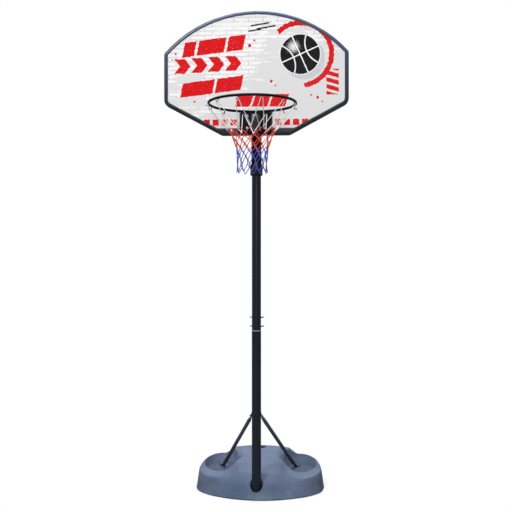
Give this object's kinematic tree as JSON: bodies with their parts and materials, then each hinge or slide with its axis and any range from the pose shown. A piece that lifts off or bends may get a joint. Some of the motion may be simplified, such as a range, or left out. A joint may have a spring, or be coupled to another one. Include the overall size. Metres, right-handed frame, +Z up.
{
  "type": "portable basketball stand",
  "caption": "Free-standing basketball goal with a fillable wheeled tank, telescoping pole, moulded backboard, fixed rim and three-colour net.",
  "frame": {"origin": "on the floor, on the pole's axis, at the tank's flat underside", "axes": "+Z up along the pole, -Y towards the board's face and the rim, +X to the viewer's right"},
  "size_m": [0.9, 0.9399, 2.386],
  "materials": {
    "tank_plastic": "blow-moulded, fine pebble grain",
    "black_plastic": "moulded",
    "seal_rubber": "plain",
    "zinc_steel": "bright zinc plating",
    "black_paint": "satin powder coat",
    "board_plastic": "moulded, satin",
    "board_print": "printed sheet",
    "white_cord": "braided cord",
    "red_cord": "braided cord",
    "blue_cord": "braided cord"
  },
  "bodies": {
    "base": {"base_tank": "tank_plastic", "axle": "zinc_steel", "lower_pole": "black_paint", "pole_foot_plug": "black_plastic", "pole_stop_ring": "black_plastic", "inner_tube": "zinc_steel", "strut_left": "black_paint", "strut_right": "black_paint", "strut_bolt": "zinc_steel", "strut_nut": "zinc_steel", "foot_bolt_left": "zinc_steel", "foot_bolt_right": "zinc_steel"},
    "filling_plug": {"fill_cap": "black_plastic", "fill_cap_seal": "seal_rubber"},
    "left_wheel": {"wheel_left": "black_plastic"},
    "right_wheel": {"wheel_right": "black_plastic"},
    "head": {"upper_pole": "black_paint", "collar": "black_plastic", "head_tube": "black_paint", "head_tube_cap": "black_plastic", "clamp_nut_lower": "zinc_steel", "clamp_nut_upper": "zinc_steel", "board_shell": "board_plastic", "board_panel": "board_print", "lower_angle_left": "black_paint", "lower_angle_right": "black_paint", "upper_angle_left": "black_paint", "upper_angle_right": "black_paint", "head_bolt_lower": "zinc_steel", "head_nut_lower": "zinc_steel", "head_bolt_upper": "zinc_steel", "head_nut_upper": "zinc_steel", "angle_screw_1": "zinc_steel", "angle_screw_2": "zinc_steel", "angle_screw_3": "zinc_steel", "angle_screw_4": "zinc_steel", "rim_ring": "black_paint", "rim_plate": "black_paint", "rim_gusset": "black_paint", "rim_bolt_1": "zinc_steel", "rim_nut_1": "zinc_steel", "rim_bolt_2": "zinc_steel", "rim_nut_2": "zinc_steel", "rim_bolt_3": "zinc_steel", "rim_nut_3": "zinc_steel", "rim_bolt_4": "zinc_steel", "rim_nut_4": "zinc_steel", "net_white": "white_cord", "net_red": "red_cord", "net_blue": "blue_cord"},
    "lower_clamp": {"clamp_stud_lower": "zinc_steel", "clamp_knob_lower": "black_plastic"},
    "upper_clamp": {"clamp_stud_upper": "zinc_steel", "clamp_knob_upper": "black_plastic"}
  },
  "joints": [
    {"name": "height_adjust", "type": "slide", "parent": "base", "child": "head", "axis": [0, 0, 1], "range_m": [0, 0.35]},
    {"name": "lower_clamp_turn", "type": "hinge", "parent": "head", "child": "lower_clamp", "pos_m": [0, 0.04, 0.8391], "axis": [0, 1, 0], "range_deg": [0, 720]},
    {"name": "upper_clamp_turn", "type": "hinge", "parent": "head", "child": "upper_clamp", "pos_m": [0, 0.04, 0.8841], "axis": [0, 1, 0], "range_deg": [0, 720]},
    {"name": "filling_plug_lift", "type": "slide", "parent": "base", "child": "filling_plug", "axis": [0, 0, 1], "range_m": [0, 0.03]},
    {"name": "left_wheel_spin", "type": "hinge", "parent": "base", "child": "left_wheel", "pos_m": [-0.176, 0.366, 0.034], "axis": [1, 0, 0], "continuous": true},
    {"name": "right_wheel_spin", "type": "hinge", "parent": "base", "child": "right_wheel", "pos_m": [0.194, 0.366, 0.034], "axis": [1, 0, 0], "continuous": true}
  ]
}
